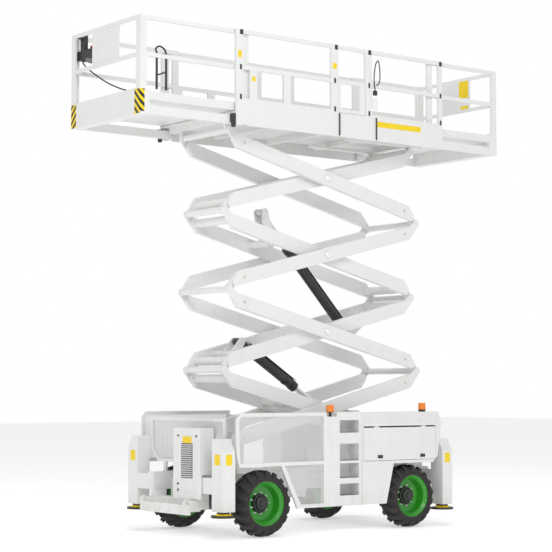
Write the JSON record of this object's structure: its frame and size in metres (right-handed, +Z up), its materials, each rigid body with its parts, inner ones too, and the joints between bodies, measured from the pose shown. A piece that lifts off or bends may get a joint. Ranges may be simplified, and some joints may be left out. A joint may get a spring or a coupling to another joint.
{
  "type": "scissor lift",
  "caption": "Four stage diesel scissor lift with green wheels, corner jacks, side ladder and a railed deck with sliding extensions.",
  "frame": {"origin": "on the ground, under the middle of the outline", "axes": "+X from the front of the machine to its rear, +Z up, -Y towards the ladder side"},
  "size_m": [6.41, 2.341, 6.745],
  "materials": {
    "white_paint": "gloss",
    "grey_paint": "satin",
    "black_paint": "satin",
    "green_paint": "gloss",
    "tyre_rubber": "matt",
    "orange_lens": "gloss",
    "polished_rod": "polished",
    "silver_paint": "satin",
    "black_plastic": "matt",
    "cable_jacket": "matt",
    "yellow_plate": "gloss",
    "red_button": "gloss",
    "grey_plastic": "matt"
  },
  "bodies": {
    "chassis": {"chassis_frame": "white_paint", "front_axle": "black_paint", "rear_axle": "black_paint", "front_bumper": "white_paint", "front_cabinet": "grey_paint", "hydraulic_filter": "silver_paint", "front_guard": "white_paint", "near_side_guard": "white_paint", "far_side_guard": "white_paint", "ladder": "white_paint", "side_beacon": "orange_lens", "rear_beacon": "orange_lens", "near_rear_housing": "white_paint", "far_rear_housing": "white_paint", "engine_block": "black_paint", "front_near_jack_column": "white_paint", "front_far_jack_column": "white_paint", "rear_near_jack_column": "white_paint", "rear_far_jack_column": "white_paint"},
    "front_near_wheel": {"front_near_rim": "green_paint", "front_near_tyre": "tyre_rubber"},
    "front_far_wheel": {"front_far_rim": "green_paint", "front_far_tyre": "tyre_rubber"},
    "rear_near_wheel": {"rear_near_rim": "green_paint", "rear_near_tyre": "tyre_rubber"},
    "rear_near_knuckle": {"rear_near_knuckle": "black_paint"},
    "rear_far_wheel": {"rear_far_rim": "green_paint", "rear_far_tyre": "tyre_rubber"},
    "rear_far_knuckle": {"rear_far_knuckle": "black_paint"},
    "front_near_jack_leg": {"front_near_jack_leg": "black_paint"},
    "front_far_jack_leg": {"front_far_jack_leg": "black_paint"},
    "rear_near_jack_leg": {"rear_near_jack_leg": "black_paint"},
    "rear_far_jack_leg": {"rear_far_jack_leg": "black_paint"},
    "near_housing_door": {"near_housing_door": "white_paint"},
    "far_housing_door": {"far_housing_door": "white_paint"},
    "outer_1": {"stage_1_outer_arms": "white_paint"},
    "inner_1": {"stage_1_inner_arms": "white_paint"},
    "outer_2": {"stage_2_outer_arms": "white_paint"},
    "inner_2": {"stage_2_inner_arms": "white_paint"},
    "outer_3": {"stage_3_outer_arms": "white_paint"},
    "inner_3": {"stage_3_inner_arms": "white_paint"},
    "outer_4": {"stage_4_outer_arms": "white_paint"},
    "inner_4": {"stage_4_inner_arms": "white_paint"},
    "platform": {"main_deck": "white_paint", "near_guard_rail": "white_paint", "far_guard_rail": "white_paint"},
    "upper_lift_barrel": {"upper_lift_barrel": "black_paint"},
    "upper_lift_rod": {"upper_lift_rod": "polished_rod"},
    "lower_lift_barrel": {"lower_lift_barrel": "black_paint"},
    "lower_lift_rod": {"lower_lift_rod": "polished_rod"},
    "front_extension": {"front_extension": "white_paint", "control_box": "black_plastic", "control_cable": "cable_jacket", "control_socket": "black_plastic"},
    "rear_extension": {"rear_extension": "white_paint"},
    "entry_gate": {"entry_gate": "white_paint"}
  },
  "joints": [
    {"name": "front_near_wheel_spin", "type": "hinge", "parent": "chassis", "child": "front_near_wheel", "pos_m": [-1.34, -0.94, 0.44], "axis": [0, 1, 0], "continuous": true},
    {"name": "front_far_wheel_spin", "type": "hinge", "parent": "chassis", "child": "front_far_wheel", "pos_m": [-1.34, 0.94, 0.44], "axis": [0, 1, 0], "continuous": true},
    {"name": "rear_near_steer", "type": "hinge", "parent": "chassis", "child": "rear_near_knuckle", "pos_m": [1.245, -0.83, 0.44], "axis": [0, 0, 1], "range_deg": [-20, 20]},
    {"name": "rear_near_wheel_spin", "type": "hinge", "parent": "rear_near_knuckle", "child": "rear_near_wheel", "pos_m": [1.245, -0.94, 0.44], "axis": [0, 1, 0], "continuous": true},
    {"name": "rear_far_steer", "type": "hinge", "parent": "chassis", "child": "rear_far_knuckle", "pos_m": [1.245, 0.83, 0.44], "axis": [0, 0, 1], "range_deg": [-20, 20]},
    {"name": "rear_far_wheel_spin", "type": "hinge", "parent": "rear_far_knuckle", "child": "rear_far_wheel", "pos_m": [1.245, 0.94, 0.44], "axis": [0, 1, 0], "continuous": true},
    {"name": "front_near_jack_slide", "type": "slide", "parent": "chassis", "child": "front_near_jack_leg", "axis": [0, 0, -1], "range_m": [0, 0.28]},
    {"name": "front_far_jack_slide", "type": "slide", "parent": "chassis", "child": "front_far_jack_leg", "axis": [0, 0, -1], "range_m": [0, 0.28]},
    {"name": "rear_near_jack_slide", "type": "slide", "parent": "chassis", "child": "rear_near_jack_leg", "axis": [0, 0, -1], "range_m": [0, 0.22]},
    {"name": "rear_far_jack_slide", "type": "slide", "parent": "chassis", "child": "rear_far_jack_leg", "axis": [0, 0, -1], "range_m": [0, 0.22]},
    {"name": "near_door_hinge", "type": "hinge", "parent": "chassis", "child": "near_housing_door", "pos_m": [0.775, -1.1135, 1.41], "axis": [-1, 0, 0], "range_deg": [0, 90]},
    {"name": "far_door_hinge", "type": "hinge", "parent": "chassis", "child": "far_housing_door", "pos_m": [0.775, 1.1135, 1.41], "axis": [1, 0, 0], "range_deg": [0, 90]},
    {"name": "scissor_lift", "type": "hinge", "parent": "chassis", "child": "outer_1", "pos_m": [-1.57, 0, 1.125], "axis": [0, -1, 0], "range_deg": [-11, 24]},
    {"name": "stage_1_centre_pin", "type": "hinge", "parent": "outer_1", "child": "inner_1", "pos_m": [0.11508, 0, 1.66505], "axis": [0, -1, 0], "range_deg": [-48.5, 22.5]},
    {"name": "stage_2_outer_pin", "type": "hinge", "parent": "outer_1", "child": "outer_2", "pos_m": [1.80015, 0, 2.20509], "axis": [0, -1, 0], "range_deg": [-48.5, 22.5]},
    {"name": "stage_2_centre_pin", "type": "hinge", "parent": "outer_2", "child": "inner_2", "pos_m": [0.11508, 0, 2.74514], "axis": [0, -1, 0], "range_deg": [-22.5, 48.5]},
    {"name": "stage_3_outer_pin", "type": "hinge", "parent": "outer_2", "child": "outer_3", "pos_m": [-1.57, 0, 3.28518], "axis": [0, -1, 0], "range_deg": [-22.5, 48.5]},
    {"name": "stage_3_centre_pin", "type": "hinge", "parent": "outer_3", "child": "inner_3", "pos_m": [0.11508, 0, 3.82523], "axis": [0, -1, 0], "range_deg": [-48.5, 22.5]},
    {"name": "stage_4_outer_pin", "type": "hinge", "parent": "outer_3", "child": "outer_4", "pos_m": [1.80015, 0, 4.36527], "axis": [0, -1, 0], "range_deg": [-48.5, 22.5]},
    {"name": "stage_4_centre_pin", "type": "hinge", "parent": "outer_4", "child": "inner_4", "pos_m": [0.11508, 0, 4.90532], "axis": [0, -1, 0], "range_deg": [-22.5, 48.5]},
    {"name": "platform_pin", "type": "hinge", "parent": "outer_4", "child": "platform", "pos_m": [-1.57, 0, 5.44536], "axis": [0, -1, 0], "range_deg": [-11.5, 24.5]},
    {"name": "upper_lift_barrel_pin", "type": "hinge", "parent": "inner_2", "child": "upper_lift_barrel", "pos_m": [0.95, 0, 2.75], "axis": [0, -1, 0], "range_deg": [-47.93, 22.24]},
    {"name": "upper_lift_rod_slide", "type": "slide", "parent": "upper_lift_barrel", "child": "upper_lift_rod", "axis": [-0.685, 0, 0.7286], "range_m": [-0.3717, 0.7991]},
    {"name": "lower_lift_barrel_pin", "type": "hinge", "parent": "inner_2", "child": "lower_lift_barrel", "pos_m": [-1.02, 0, 2.6], "axis": [0, -1, 0], "range_deg": [-50.66, 23.49]},
    {"name": "lower_lift_rod_slide", "type": "slide", "parent": "lower_lift_barrel", "child": "lower_lift_rod", "axis": [0.8437, 0, -0.5369], "range_m": [-0.2467, 0.5265]},
    {"name": "front_extension_slide", "type": "slide", "parent": "platform", "child": "front_extension", "axis": [1, 0, 0], "range_m": [0, 1.3]},
    {"name": "rear_extension_slide", "type": "slide", "parent": "platform", "child": "rear_extension", "axis": [-1, 0, 0], "range_m": [0, 0.95]},
    {"name": "gate_hinge", "type": "hinge", "parent": "platform", "child": "entry_gate", "pos_m": [0.056, -0.87, 5.7903], "axis": [0, 0, 1], "range_deg": [0, 90]}
  ],
  "couplings": [
    {"joint": "rear_far_steer", "follows": "rear_near_steer", "ratio": 1},
    {"joint": "stage_1_centre_pin", "follows": "scissor_lift", "ratio": -2},
    {"joint": "stage_2_outer_pin", "follows": "scissor_lift", "ratio": -2},
    {"joint": "stage_2_centre_pin", "follows": "scissor_lift", "ratio": 2},
    {"joint": "stage_3_outer_pin", "follows": "scissor_lift", "ratio": 2},
    {"joint": "stage_3_centre_pin", "follows": "scissor_lift", "ratio": -2},
    {"joint": "stage_4_outer_pin", "follows": "scissor_lift", "ratio": -2},
    {"joint": "stage_4_centre_pin", "follows": "scissor_lift", "ratio": 2},
    {"joint": "platform_pin", "follows": "scissor_lift", "ratio": 1},
    {"joint": "upper_lift_barrel_pin", "follows": "scissor_lift", "ratio": -1.9763},
    {"joint": "upper_lift_rod_slide", "follows": "scissor_lift", "m_per_rad": 1.8838},
    {"joint": "lower_lift_barrel_pin", "follows": "scissor_lift", "ratio": -2.0899},
    {"joint": "lower_lift_rod_slide", "follows": "scissor_lift", "m_per_rad": 1.2329}
  ]
}
